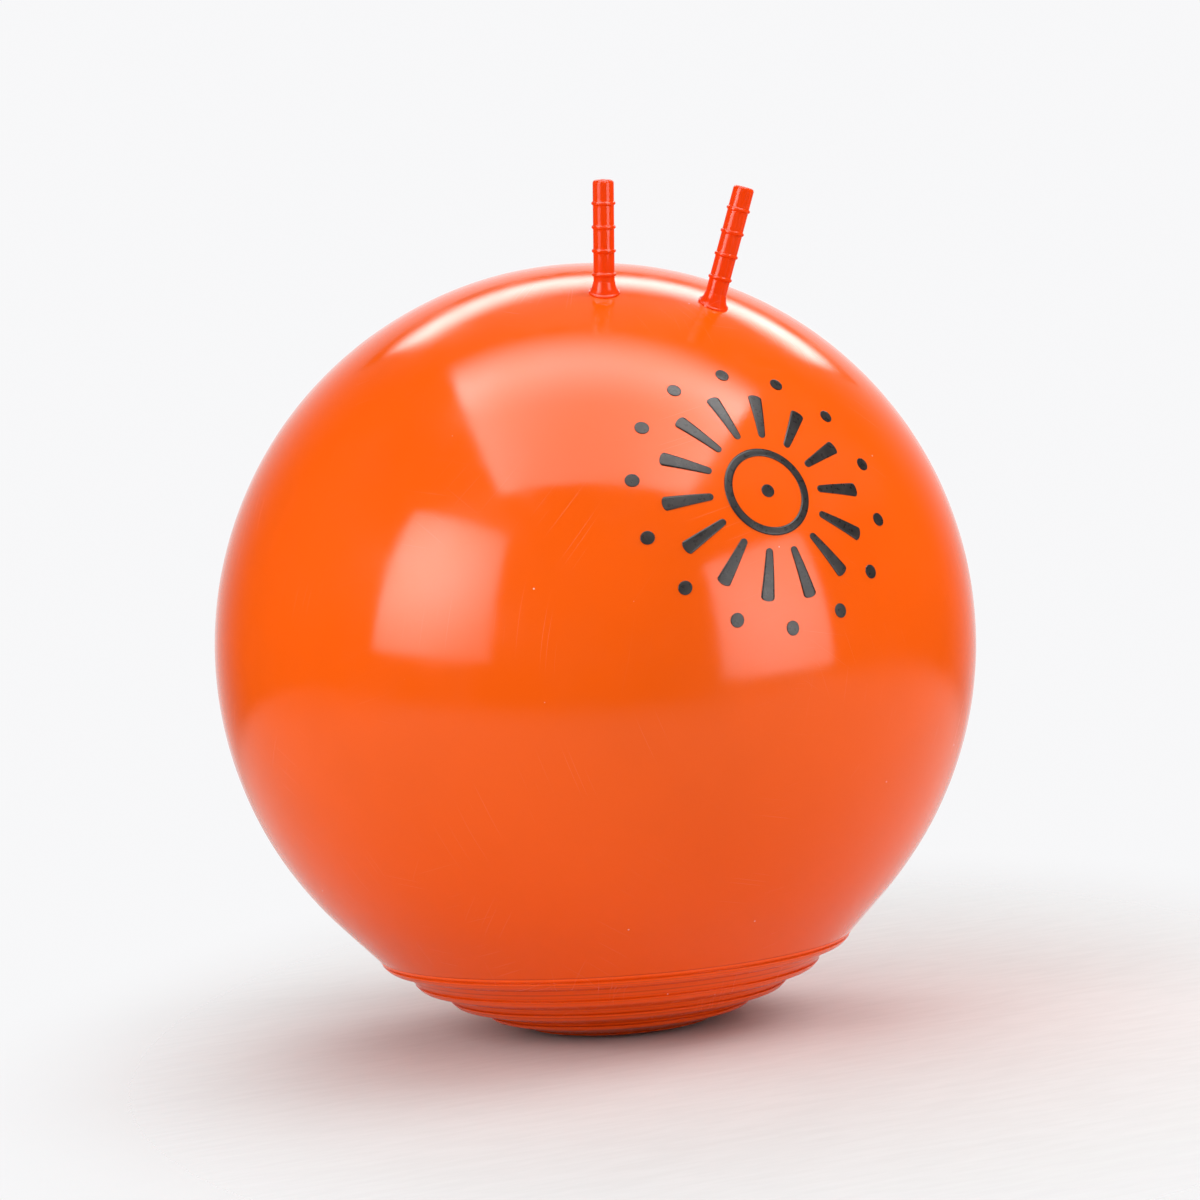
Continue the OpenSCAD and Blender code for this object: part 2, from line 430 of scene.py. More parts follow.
def scratches(tree, coords, share):
    """A mask of fine, slightly bent scratches of several lengths and directions."""
    inputs = {"Vector": coords, "Scale": SCRATCH_BENDS, "Detail": 1.0}
    drift = node(tree, "ShaderNodeTexNoise", inputs).outputs["Color"]
    drift = vector_maths(tree, "MULTIPLY", drift, SCRATCH_DRIFT)
    bent = vector_maths(tree, "ADD", unrolled(tree, coords), drift)
    total = 0.0
    for turn in SCRATCH_TURNS:
        inputs = {"Vector": bent, "Rotation": (0, 0, turn), "Scale": SCRATCH_SPACING}
        turned = node(tree, "ShaderNodeMapping", inputs, vector_type="TEXTURE").outputs[0]
        inputs = {"Vector": turned, "Scale": 1.0}
        cells = node(tree, "ShaderNodeTexVoronoi", inputs, voronoi_dimensions="2D")
        chance = chances(tree, cells)
        reach = remap(tree, chance["Green"], 0.0, 1.0, *SCRATCH_REACH)
        near = maths(tree, "SUBTRACT", 1.0, maths(tree, "DIVIDE", cells.outputs["Distance"], reach))
        chosen = maths(tree, "GREATER_THAN", chance["Red"], 1 - share)
        total = maths(tree, "MAXIMUM", total, product(tree, near, chosen))
    return total


def specks(tree, coords, spacing, size, share):
    """A mask of small round specks."""
    cells = node(tree, "ShaderNodeTexVoronoi", {"Vector": coords, "Scale": 1 / spacing})
    near = remap(tree, cells.outputs["Distance"], 0.5 * size / spacing, size / spacing, 1.0, 0.0)
    chosen = maths(tree, "GREATER_THAN", chances(tree, cells)["Red"], 1 - share)
    return product(tree, near, chosen)


def ring_tracks(tree, coords):
    """Fine tracks round the object's upright axis, as a turned mould leaves them."""
    parts = parts_of(tree, coords)
    inputs = {"X": distance(tree, parts["X"], parts["Y"]), "Y": parts["Z"]}
    ring = node(tree, "ShaderNodeCombineXYZ", inputs).outputs[0]
    return noise_at(tree, ring, MOULD_TRACK, 3.0, 0.6)


def hollows(tree, reach):
    """Openness at each point, lower in hollows and folds within that reach, which sets where shade is
    painted in.
    """
    return node(tree, "ShaderNodeAmbientOcclusion", {"Distance": reach}, samples=8).outputs["AO"]


def vinyl(name, colour, rough, ior, scratch_share, dust_share, rings=False):
    """Glossy soft vinyl with cloudy pigment, handling marks, fine scratches and dust.

    Low down it turns to a brighter orange, a painted glow for the light that the thin wall lets
    through. Rings add mould tracks and painted shade in the folds of the ribs.
    """
    made, tree = new_material(name)
    coords = place(tree)
    deep = shaded(colour, DEEP_SHARE)
    cloud = remap(tree, noise_at(tree, coords, CLOUD, 3.0), 0.3, 0.7)
    fine_cloud = noise_at(tree, coords, FINE_CLOUD, 3.0)
    worn = remap(tree, noise_at(tree, coords, WORN_PATCH, 3.0), 0.38, 0.62, 0.25, 1.0)
    marks = product(tree, scratches(tree, coords, scratch_share), worn)
    dust = specks(tree, coords, DUST_SPACING, DUST_SIZE, dust_share)
    # Painted glow: a brighter orange low down, in place of the light that the thin wall lets through
    foot = remap(tree, parts_of(tree, coords)["Z"], PAINTED_GLOW_LOW, PAINTED_GLOW_HIGH, PAINTED_GLOW_TINT, 0.0)
    tint = mix_colour(tree, cloud, deep, colour)
    tint = mix_colour(tree, foot, tint, PAINTED_GLOW_ORANGE)
    tint = mix_colour(tree, product(tree, fine_cloud, CLOUD_TINT), tint, deep)
    tint = mix_colour(tree, product(tree, marks, MARK_TINT), tint, PALE_MARK)
    tint = mix_colour(tree, product(tree, dust, DUST_TINT), tint, DUST)
    smudge = noise_at(tree, coords, SMUDGE, 4.0, 0.6)
    smudge = remap(tree, smudge, 0.35, 0.75, *(rough + change for change in SMUDGE_ROUGH))
    gloss = maths(tree, "ADD", smudge, product(tree, marks, MARK_ROUGH))
    peel = product(tree, noise_at(tree, coords, PEEL, 2.0), PEEL_HEIGHT)
    height = maths(tree, "ADD", peel, product(tree, marks, MARK_HEIGHT))
    if rings:
        dark = shaded(colour, DARK_SHARE)
        tracks = ring_tracks(tree, coords)
        # Painted shade: the base darkens in its folds, where the occlusion is high
        painted_crease_shade = remap(tree, hollows(tree, CREASE_SHADE_REACH), 0.45, 0.95, CREASE_SHADE_TINT, 0.0)
        tint = mix_colour(tree, remap(tree, tracks, 0.5, 0.64, 0.0, TRACK_TINT), tint, dark)
        tint = mix_colour(tree, painted_crease_shade, tint, dark)
        height = maths(tree, "ADD", height, product(tree, tracks, TRACK_HEIGHT))
    show_plastic(tree, tint, gloss, height, bump_strength=0.18, bump_depth=0.12 * MM, ior=ior)
    return made


def ink_material():
    """Satin screen-print ink with thin places and tiny pinholes."""
    black = (0.016, 0.014, 0.014, 1)
    thin_black = (0.034, 0.028, 0.026, 1)
    under = (0.5, 0.08, 0.01, 1)
    made, tree = new_material("print_ink")
    coords = place(tree)
    thin = remap(tree, noise_at(tree, coords, 9 * MM, 4.0, 0.65), 0.35, 0.75)
    holes = specks(tree, coords, spacing=5 * MM, size=0.35 * MM, share=0.12)
    tint = mix_colour(tree, thin, black, thin_black)
    tint = mix_colour(tree, product(tree, holes, 0.6), tint, under)
    gloss = remap(tree, noise_at(tree, coords, 4 * MM, 3.0), 0.3, 0.7, 0.26, 0.36)
    grain = noise_at(tree, coords, 0.9 * MM, 2.0)
    show_plastic(tree, tint, gloss, grain, bump_strength=0.15, bump_depth=0.1 * MM, ior=1.34)
    return made


def plug_material():
    """Satin soft plastic, slightly yellowed, with painted shade in its hollows."""
    cream = (0.80, 0.77, 0.68, 1)
    yellowed = (0.66, 0.62, 0.52, 1)
    painted_shade_brown = (0.30, 0.24, 0.17, 1)
    made, tree = new_material("plug_vinyl")
    coords = place(tree)
    cloud = remap(tree, noise_at(tree, coords, 6 * MM, 4.0, 0.6), 0.3, 0.75)
    # Painted shade: a dark brown mixed in where the occlusion finds hollows
    painted_hollow_shade = remap(tree, hollows(tree, 1.5 * MM), 0.35, 0.9, 0.5, 0.0)
    tint = mix_colour(tree, painted_hollow_shade, mix_colour(tree, cloud, cream, yellowed), painted_shade_brown)
    gloss = remap(tree, noise_at(tree, coords, 2 * MM, 3.0), 0.3, 0.7, 0.38, 0.52)
    grain = noise_at(tree, coords, 0.5 * MM, 2.0)
    show_plastic(tree, tint, gloss, grain, bump_strength=0.2, bump_depth=0.08 * MM, ior=1.5)
    return made


BALL_VINYL = vinyl("ball_vinyl", BALL_ORANGE, rough=0.13, ior=1.33, scratch_share=0.11, dust_share=0.16)
BASE_VINYL = vinyl(
    "base_vinyl", BASE_ORANGE, rough=0.22, ior=1.33, scratch_share=0.07, dust_share=0.20, rings=True)
HORN_VINYL = vinyl("horn_vinyl", HORN_ORANGE, rough=0.13, ior=1.30, scratch_share=0.06, dust_share=0.10)
PLUG_VINYL = plug_material()
PRINT_INK = ink_material()


# The ball's wall

def at_ball(tilt):
    """The frame at the ball's centre, with its Z axis tilted by that angle about X."""
    return Matrix.Translation(BALL) @ Matrix.Rotation(tilt, 4, "X")


def at_valve():
    return at_ball(-VALVE_TILT) @ Matrix.Translation((0, 0, BALL_R))


def on_ball(x, y, reach=BALL_R):
    """The height of a ball of that radius over its centre, at a place beside its axis."""
    return math.sqrt(reach ** 2 - x * x - y * y)


def ball_profile():
    """The outer wall from the top to its lower edge, and a short way up the inside."""
    outer_round = 0.45 * MM
    inner_round = 0.2 * MM
    path = []
    for i in range(BALL_RINGS + 1):
        angle = STRAIGHT_FROM * i / BALL_RINGS
        path.append((BALL_R * math.sin(angle), BALL.z + BALL_R * math.cos(angle)))
    start_r, start_z = path[-1]
    edge_r = RIM_R + EDGE_GAP
    edge_z = start_z + (start_r - edge_r) * math.tan(STRAIGHT_FROM)
    inner_z = edge_z - SKIN_WALL / math.cos(STRAIGHT_FROM)
    lower = [
        (start_r, start_z, 0),
        (edge_r, edge_z, outer_round),
        (edge_r, inner_z, inner_round),
        (start_r - SKIN_WALL, start_z, 0),
    ]
    path.extend(rounded_path(lower, step=4 * MM)[1:])
    return path


def open_hole(mesh, matrix, radius, clear):
    """Opens a round hole at the matrix's origin, with rings of faces on the ball round it."""
    bm = bmesh.new()
    bm.from_mesh(mesh)
    back = matrix.inverted()

    def near(vert, reach):
        local = back @ vert.co
        return local.z > -BALL_R / 2 and local.xy.length < reach

    def turn(vert):
        local = back @ vert.co
        return math.atan2(local.y, local.x)

    cut = [face for face in bm.faces if any(near(vert, clear) for vert in face.verts)]
    bmesh.ops.delete(bm, geom=cut, context="FACES")
    border = {vert for edge in bm.edges if edge.is_boundary for vert in edge.verts}
    rim = sorted((vert for vert in border if near(vert, 2 * clear)), key=turn)
    loops = [rim]
    for k in range(1, HOLE_RINGS + 1):
        loop = []
        for vert in rim:
            flat = (back @ vert.co).xy
            reach = flat.length + (radius - flat.length) * k / HOLE_RINGS
            x, y = flat.normalized() * reach
            loop.append(bm.verts.new(matrix @ Vector((x, y, on_ball(x, y) - BALL_R))))
        loops.append(loop)
    for outer, inner in zip(loops, loops[1:]):
        for i in range(len(rim)):
            j = (i + 1) % len(rim)
            bm.faces.new((outer[i], outer[j], inner[j], inner[i]))
    mesh.clear_geometry()
    fill(mesh, bm)


def build_ball():
    """The soft wall, slightly wavy away from its lower edge and the valve."""
    mesh = revolve("ball_wall", ball_profile(), BALL_STEPS)
    open_hole(mesh, at_valve(), BOSS_R, BOSS_R + HOLE_CLEAR)
    for vert in mesh.vertices:
        calm = smooth_step(LIP_Z, LIP_Z + CALM_H, vert.co.z)
        calm *= smooth_step(BOSS_R, 4 * BOSS_R, (vert.co - at_valve().translation).length)
        wave = noise.noise(vert.co / WAVE_LENGTH)
        outward = (vert.co - BALL).normalized()
        vert.co += outward * WAVE * calm * (wave - 1)
    made = piece("ball_wall", mesh, BALL_VINYL, "ball_vinyl", "ball_skin")
    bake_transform(made)
    return made


# The stepped base

def rib_edge(index):
    """The corner where a rib's steep upper side meets its flat underside."""
    angle = math.asin((RIM_R - RIM_SET) / CAP_R) - index * RIB_PITCH / CAP_R
    return Vector((CAP_R * math.sin(angle), CAP_Z - CAP_R * math.cos(angle)))


def crossing(p, p_slope, q, q_slope):
    """The point where a line through p and a line through q meet."""
    p_rise = math.tan(p_slope)
    q_rise = math.tan(q_slope)
    x = (p.y - q.y - p.x * p_rise + q.x * q_rise) / (q_rise - p_rise)
    return Vector((x, p.y + (x - p.x) * p_rise))


def base_profile():
    """The base from its lip down over the stepped ribs to the hollow under it."""
    lip_round = 0.5 * MM
    lip_foot_round = 0.6 * MM
    crease_round = 1.0 * MM
    ledge_inner_round = 0.12 * MM
    ledge_outer_round = 0.15 * MM
    foot_round = 6 * MM
    recess_round = 1.2 * MM
    recess_slope = 1.5 * MM
    up = Vector((math.cos(RISER), math.sin(RISER)))
    out = Vector((math.sin(RISER), -math.cos(RISER)))
    first = rib_edge(0)
    corners = [
        (RIM_R - LIP_W, LIP_Z, 0),
        (RIM_R, LIP_Z, lip_round),
        (RIM_R, first.y + (RIM_R - first.x) * math.tan(RISER) + LEDGE, lip_foot_round),
    ]
    for index in range(RIB_COUNT):
        edge = rib_edge(index)
        if index == 0:
            ledge_up = LEDGE_UP
        else:
            crease = crossing(rib_edge(index - 1), TREAD, edge - out * LEDGE, RISER)
            corners.append((crease.x, crease.y, crease_round))
            ledge_up = min(LEDGE_UP, 0.6 * (crease - edge).length)
        low = edge + up * ledge_up
        high = low - out * LEDGE
        corners.append((high.x, high.y, ledge_inner_round))
        corners.append((low.x, low.y, ledge_outer_round))
        rounding = min(RIB_ROUND, 0.45 * ledge_up / math.tan((RISER - TREAD) / 2))
        corners.append((edge.x, edge.y, rounding))
    last = rib_edge(RIB_COUNT - 1)
    corners += [
        (last.x - last.y / math.tan(TREAD), 0, foot_round),
        (RECESS_R, 0, recess_round),
        (RECESS_R - recess_slope, RECESS_H, recess_round),
        (0, RECESS_H, 0),
    ]
    return rounded_path(corners, step=1.6 * MM)


def build_base():
    mesh = revolve("stepped_base", base_profile(), BASE_STEPS)
    made = piece("stepped_base", mesh, BASE_VINYL, "base_vinyl", "ribbed_base")
    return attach(made, "base")


# The horns

def at_horn(side):
    """The frame at the root of one horn, with its Z axis along the horn."""
    lean = math.asin(HORN_GAP / 2 / BALL_R)
    turned = at_ball(HORN_FORWARD) @ Matrix.Rotation(HORN_TURN, 4, "Z")
    turned = turned @ Matrix.Rotation(side * lean, 4, "Y")
    return turned @ Matrix.Translation((0, 0, BALL_R)) @ Matrix.Rotation(-HORN_RAKE, 4, "X")


def horn_profile(neck):
    """A horn from its foot on the ball to its tip: a flare, four grip beads and a dimpled end."""
    bead_foot_round = 0.5 * MM
    bead_round = 0.7 * MM
    tip_round = 2.6 * MM
    dimple_round = 0.8 * MM
    tip = neck + HORN_LEN
    corners = [
        (FLARE_R, -2 * MM, 0),
        (FLARE_R, 0.9 * MM, 0.7 * MM),
        (FLARE_R - 1.1 * MM, 1.3 * MM, 0.6 * MM),
        (HORN_R + 1.0 * MM, 0.5 * FLARE_H, 8 * MM),
        (HORN_R + 0.3 * MM, FLARE_H - 0.5 * MM, 0.3 * MM),
        (HORN_R, FLARE_H, 0.3 * MM),
    ]
    for index in range(BEAD_COUNT):
        middle = neck + index * BEAD_PITCH
        corners += [
            (HORN_R, middle - BEAD_W / 2, bead_foot_round),
            (HORN_R + BEAD_RISE, middle - BEAD_W / 5, bead_round),
            (HORN_R + BEAD_RISE, middle + BEAD_W / 5, bead_round),
            (HORN_R, middle + BEAD_W / 2, bead_foot_round),
        ]
    corners += [
        (HORN_R, tip - 0.4 * MM, tip_round),
        (DIMPLE_R, tip, dimple_round),
        (0.6 * DIMPLE_R, tip - DIMPLE_H, dimple_round),
        (0, tip - DIMPLE_H, 0),
    ]
    path = rounded_path(corners, step=1.2 * MM, arc_step=math.radians(12))
    path.reverse()
    return path


def build_horn(name, side):
    """One horn with its flared root, whose neck sits where the frame has the joint."""
    root = at_horn(side)
    pivot = Vector(joints[name + "_flex"]["pos_m"])
    neck = (root.inverted() @ pivot).z
    mesh = revolve(name + "_grip", horn_profile(neck), HORN_STEPS)
    centre = root.inverted() @ BALL
    for vert in mesh.vertices:
        x, y, z = vert.co
        ground = centre.z + on_ball(x - centre.x, y - centre.y)
        vert.co.z += ground * (1 - smooth_step(0, FLARE_H, z))
    mesh.transform(root)
    made = piece(name + "_grip", mesh, HORN_VINYL, "horn_vinyl", name, name + "_collar")
    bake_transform(made)
    return made


# The valve

def recess_reach(angle):
    """How far the recess for the plug's head reaches at an angle, with a nail notch to its rear."""
    away = angle - math.pi / 2
    across = HEAD_RECESS_R * math.sin(away)
    along = HEAD_RECESS_R * math.cos(away)
    if along <= 0 or abs(across) >= NAIL_R:
        return HEAD_RECESS_R
    return max(HEAD_RECESS_R, along + math.sqrt(NAIL_R ** 2 - across ** 2))


def build_valve_seat():
    """The boss round the filling hole: a low ring, and the plug's recess with a fingernail notch."""
    ring_rise = 0.5 * MM
    notch_reach = HEAD_RECESS_R + NAIL_R
    flange = notch_reach + 0.5 * MM
    floor_end = VALVE_BORE_R + 0.5 * MM
    corners = [
        (BOSS_R + 2.4 * MM, -0.9 * MM, 0),
        (BOSS_R + 1.6 * MM, 0.1 * MM, 0.6 * MM),
        (BOSS_R + 0.6 * MM, ring_rise, 0.6 * MM),
        (notch_reach + 0.9 * MM, ring_rise, 0.5 * MM),
        (flange, 0.1 * MM, 0.4 * MM),
        (HEAD_RECESS_R, 0.1 * MM, 0.35 * MM),
        (HEAD_RECESS_R, -HEAD_RECESS_H, 0.3 * MM),
        (VALVE_BORE_R, -HEAD_RECESS_H, 0.3 * MM),
        (VALVE_BORE_R, -BOSS_H, 0),
    ]
    profile = rounded_path(corners, step=0.6 * MM, arc_step=math.radians(15))
    mesh = revolve("valve_ring", profile, VALVE_STEPS)
    for vert in mesh.vertices:
        r = vert.co.xy.length
        reach = recess_reach(math.atan2(vert.co.y, vert.co.x))
        if floor_end < r <= HEAD_RECESS_R:
            r_new = floor_end + (r - floor_end) * (reach - floor_end) / (HEAD_RECESS_R - floor_end)
        elif HEAD_RECESS_R < r < flange:
            r_new = flange - (flange - r) * (flange - reach) / (flange - HEAD_RECESS_R)
        else:
            r_new = r
        vert.co.xy *= r_new / r
        vert.co.z += on_ball(r_new, 0) - BALL_R
    mesh.transform(at_valve())
    made = piece("valve_ring", mesh, BALL_VINYL, "ball_vinyl", "valve_seat")
    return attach(made, "ball")


def build_plug():
    """The push-in stopper: a dished head with a raised rim, and a grooved stem with a chamfered end."""
    dish = 0.4 * MM
    pip = 0.7 * MM
    groove_slope = 0.3 * MM
    groove_round = 0.2 * MM
    chamfer_w = 0.8 * MM
    chamfer_h = 1.2 * MM
    head_r = HEAD_RECESS_R - HEAD_GAP
    under = HEAD_GAP - HEAD_RECESS_H
    top = under + HEAD_H
    bottom = -HEAD_RECESS_H - STEM_L
    corners = [
        (0, top - pip, 0),
        (1.1 * MM, top - pip, 0.3 * MM),
        (1.4 * MM, top - dish, 0.3 * MM),
        (head_r - 1.9 * MM, top - dish, 0.4 * MM),
        (head_r - 1.4 * MM, top, 0.35 * MM),
        (head_r, top, 0.5 * MM),
        (head_r, under, 0.4 * MM),
        (STEM_R, under, 0.4 * MM),
    ]
    pitch = STEM_L / (STEM_GROOVES + 1)
    for index in range(1, STEM_GROOVES + 1):
        middle = -HEAD_RECESS_H - index * pitch
        corners += [
            (STEM_R, middle + GROOVE_W / 2, groove_round),
            (STEM_R - GROOVE_H, middle + GROOVE_W / 2 - groove_slope, groove_round),
            (STEM_R - GROOVE_H, middle - GROOVE_W / 2 + groove_slope, groove_round),
            (STEM_R, middle - GROOVE_W / 2, groove_round),
        ]
    corners += [
        (STEM_R, bottom + chamfer_h, 0.5 * MM),
        (STEM_R - chamfer_w, bottom, 0.4 * MM),
        (0, bottom, 0),
    ]
    profile = rounded_path(corners, step=0.7 * MM, arc_step=math.radians(15))
    mesh = revolve("valve_stopper", profile, PLUG_STEPS, at_valve())
    made = piece("valve_stopper", mesh, PLUG_VINYL, "plug_vinyl", "valve_plug")
    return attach(made, "plug")


# The print

def add_patch(bm, rows, closed):
    """Faces of ink through rows of flat points, which lie on the ball once they are in the bm."""
    lines = []
    for row in rows:
        lines.append([bm.verts.new((x, y, on_ball(x, y, BALL_R + INK_H))) for x, y in row])
    for inner, outer in zip(lines, lines[1:]):
        count = len(inner) if closed else len(inner) - 1
        for i in range(count):
            j = (i + 1) % len(inner)
            bm.faces.new((inner[i], outer[i], outer[j], inner[j]))
    return lines


def circle_row(x, y, r, steps):
    turns = [math.tau * i / steps for i in range(steps)]
    return [(x + r * math.cos(a), y + r * math.sin(a)) for a in turns]


def add_dot(bm, x, y, r):
    rows = [circle_row(x, y, r * share, DOT_STEPS) for share in (0.25, 0.5, 0.75, 0.92, 1)]
    lines = add_patch(bm, rows, closed=True)
    bm.faces.new(lines[0])


def ray_row(angle, share, across):
    """A row of points along one ray, at a share of its width, with both ends rounded."""
    row = []
    for i in range(RAY_STEPS + 1):
        t = 0.5 - 0.5 * math.cos(math.pi * i / RAY_STEPS)
        r = RAY_START_R + (RAY_END_R - RAY_START_R) * t
        half = (RAY_INNER_W + (RAY_OUTER_W - RAY_INNER_W) * t) / 2
        inner_end = min(1, (r - RAY_START_R) / (RAY_INNER_W / 2))
        outer_end = min(1, (RAY_END_R - r) / (RAY_OUTER_W / 4))
        half *= math.sqrt(1 - (1 - inner_end) ** 2) * math.sqrt(1 - (1 - outer_end) ** 2)
        side = across * share * max(half, 0.05 * MM)
        row.append(Matrix.Rotation(angle, 2) @ Vector((r, side)))
    return row


def add_skirt(bm, radius):
    """Faces from the open edges of the ink down to that radius, always in the same order."""
    rim = [edge for edge in bm.edges if edge.is_boundary]
    lower = {}
    for vert in (vert for edge in rim for vert in edge.verts):
        if vert not in lower:
            lower[vert] = bm.verts.new(vert.co * (radius / vert.co.length))
    for loop in [edge.link_loops[0] for edge in rim]:
        start = loop.vert
        end = loop.link_loop_next.vert
        bm.faces.new((end, start, lower[start], lower[end]))


def build_print():
    """The ink film: a ring round a dot, tapered rays and a circle of dots, with edges to the ball."""
    bm = bmesh.new()
    widths = [PRINT_RING_R - PRINT_LINE_W * k / 4 for k in range(4, -1, -1)]
    add_patch(bm, [circle_row(0, 0, r, CIRCLE_STEPS) for r in widths], closed=True)
    add_dot(bm, 0, 0, DOT_R)
    turn = math.tau / RAY_COUNT
    for index in range(RAY_COUNT):
        angle = index * turn
        rows = [ray_row(angle, abs(k) / 4, math.copysign(1, k)) for k in range(4, -5, -1)]
        add_patch(bm, rows, closed=False)
        x = DOT_RING_R * math.cos(angle + turn / 2)
        y = DOT_RING_R * math.sin(angle + turn / 2)
        add_dot(bm, x, y, DOT_R)
    bmesh.ops.recalc_face_normals(bm, faces=bm.faces)
    if sum(face.normal.z for face in bm.faces) < 0:
        bmesh.ops.reverse_faces(bm, faces=bm.faces)
    add_skirt(bm, BALL_R - 2 * WAVE - INK_H)
    mesh = fill(bpy.data.meshes.new("sunburst_print"), bm)
    mesh.transform(at_ball(PRINT_TILT))
    made = piece("sunburst_print", mesh, PRINT_INK, "print_ink", "front_print")
    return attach(made, "ball")


# The studio

def heading(azimuth, elevation):
    """The direction at an azimuth from the object's front and an elevation, both in radians."""
    level = math.cos(elevation)
    return Vector((math.sin(azimuth) * level, -math.cos(azimuth) * level, math.sin(elevation)))


def direction(azimuth, elevation):
    """The direction at an azimuth from the camera, positive to the picture's right, in degrees."""
    return heading(CAMERA_AZIMUTH + math.radians(azimuth), math.radians(elevation))


UP = Vector((0, 0, 1))
TO_CAMERA = heading(CAMERA_AZIMUTH, CAMERA_ELEVATION)


def add_camera():
    level = Vector((math.cos(CAMERA_AZIMUTH), math.sin(CAMERA_AZIMUTH), 0))
    upright = TO_CAMERA.cross(level)
    right = math.cos(CAMERA_ROLL) * level - math.sin(CAMERA_ROLL) * upright
    up = math.sin(CAMERA_ROLL) * level + math.cos(CAMERA_ROLL) * upright
    focal = PHOTO_BALL_R * math.sqrt(CAMERA_DISTANCE ** 2 - BALL_R ** 2) / BALL_R
    aim_right = (PHOTO_SIZE / 2 - PHOTO_BALL_X) / focal
    aim_up = (PHOTO_BALL_Y - PHOTO_SIZE / 2) / focal
    z = (TO_CAMERA - aim_up * up - aim_right * right).normalized()
    x = (right - right.dot(z) * z).normalized()
    y = z.cross(x)
    data = bpy.data.cameras.new("camera")
    data.sensor_width = SENSOR
    data.lens = SENSOR * focal / PHOTO_SIZE
    made = add_object("camera", data)
    turned = Matrix((x, y, z)).transposed().to_4x4()
    made.matrix_world = Matrix.Translation(BALL + TO_CAMERA * CAMERA_DISTANCE) @ turned
    scene.camera = made


def facing_matrix(location, facing, up):
    """A placement whose -Z axis points the way it faces, with its Y axis as near to up as it can be."""
    z = -facing.normalized()
    x = up.cross(z).normalized()
    y = z.cross(x)
    return Matrix.Translation(location) @ Matrix((x, y, z)).transposed().to_4x4()


def add_lamp(name, location, facing, up, size, radiance):
    """A rectangular lamp that shines one way, with its radiance as the measure of its brightness."""
    data = bpy.data.lights.new(name, "AREA")
    data.shape = "RECTANGLE"
    data.size, data.size_y = size
    data.energy = radiance * math.pi * data.size * data.size_y
    made = add_object(name, data)
    made.matrix_world = facing_matrix(location, facing, up)
    made.visible_camera = False
    made.visible_glossy = False
    return made


def add_side_box(name, radiance, azimuth, elevation, reach, size, lean=0):
    """An upright softbox that leans inwards, placed where the ball reflects it to the camera."""
    away = direction(azimuth, elevation)
    half = (TO_CAMERA + away).normalized()
    inward = direction(azimuth - math.copysign(90, azimuth), 0)
    up = UP + math.tan(math.radians(lean)) * inward
    location = BALL + BALL_R * half + reach * away
    return add_lamp(name, location, -direction(azimuth, 0), up, size, radiance)


def add_ceiling_box(name, radiance, height, turn, left, right, rear, front):
    """A softbox overhead that faces down, with its four edges as distances from the ball's middle."""
    across = direction(90 + turn, 0)
    towards = direction(turn, 0)
    middle = across * (left + right) / 2 + towards * (front + rear) / 2 + UP * height
    return add_lamp(name, BALL + middle, -UP, -towards, (right - left, front - rear), radiance)


def only_reflected(made):
    """Makes a stage item one that only reflections see."""
    made.visible_camera = False
    made.visible_diffuse = False
    made.visible_shadow = False


def new_card(name):
    """A card's material, with the place on the card as its X and Y in metres."""
    made, tree = new_material(name)
    parts = parts_of(tree, place(tree))
    return made, tree, parts["X"], parts["Y"]


def hang(name, material, matrix, width, height):
    """Hangs up a flat sheet that only reflections see."""
    x = width / 2
    y = height / 2
    mesh = bpy.data.meshes.new(name)
    mesh.from_pydata([(-x, -y, 0), (x, -y, 0), (x, y, 0), (-x, y, 0)], [], [(0, 1, 2, 3)])
    mesh.materials.append(material)
    card = add_object(name, mesh)
    card.matrix_world = matrix
    only_reflected(card)


def glow(tree, colour, strength=1.0):
    return node(tree, "ShaderNodeEmission", {"Color": colour, "Strength": strength})


def either(tree, factor, first, second):
    """The first shader where the factor is 0, and the second where it is 1."""
    inputs = {0: factor, 1: first.outputs[0], 2: second.outputs[0]}
    return node(tree, "ShaderNodeMixShader", inputs)


def add_panel_card(name, lamp, radiance, at_x, at_y, spread):
    """The lit front of a softbox, brightest at its hot spot."""
    made, tree, x, y = new_card(name)
    away = squares(tree, maths(tree, "SUBTRACT", x, at_x), maths(tree, "SUBTRACT", y, at_y))
    level = maths(tree, "EXPONENT", product(tree, away, -0.5 / spread ** 2))
    show(tree, glow(tree, WHITE, product(tree, level, radiance)))
    hang(name, made, lamp.matrix_world, lamp.data.size, lamp.data.size_y)


def add_ceiling_card(lamp):
    """The lit front of the softbox overhead, brighter at its sides and rear, with a soft rear end."""
    dimmest_x = -0.1
    side_rise = 0.8
    rear_rise = 0.8
    rear_band = 0.0, 0.6
    end_band = 0.5, 1.16
    made, tree, x, y = new_card("ceiling_card")
    sides = maths(tree, "POWER", maths(tree, "SUBTRACT", x, dimmest_x), 2.0)
    rear = remap(tree, y, *rear_band, 0.0, rear_rise)
    level = maths(tree, "ADD", maths(tree, "ADD", product(tree, sides, side_rise), rear), 1.0)
    level = product(tree, level, remap(tree, y, *end_band, 1.0, 0.0), CEILING_CARD)
    show(tree, glow(tree, WHITE, level))
    hang("ceiling_card", made, lamp.matrix_world, lamp.data.size, lamp.data.size_y)


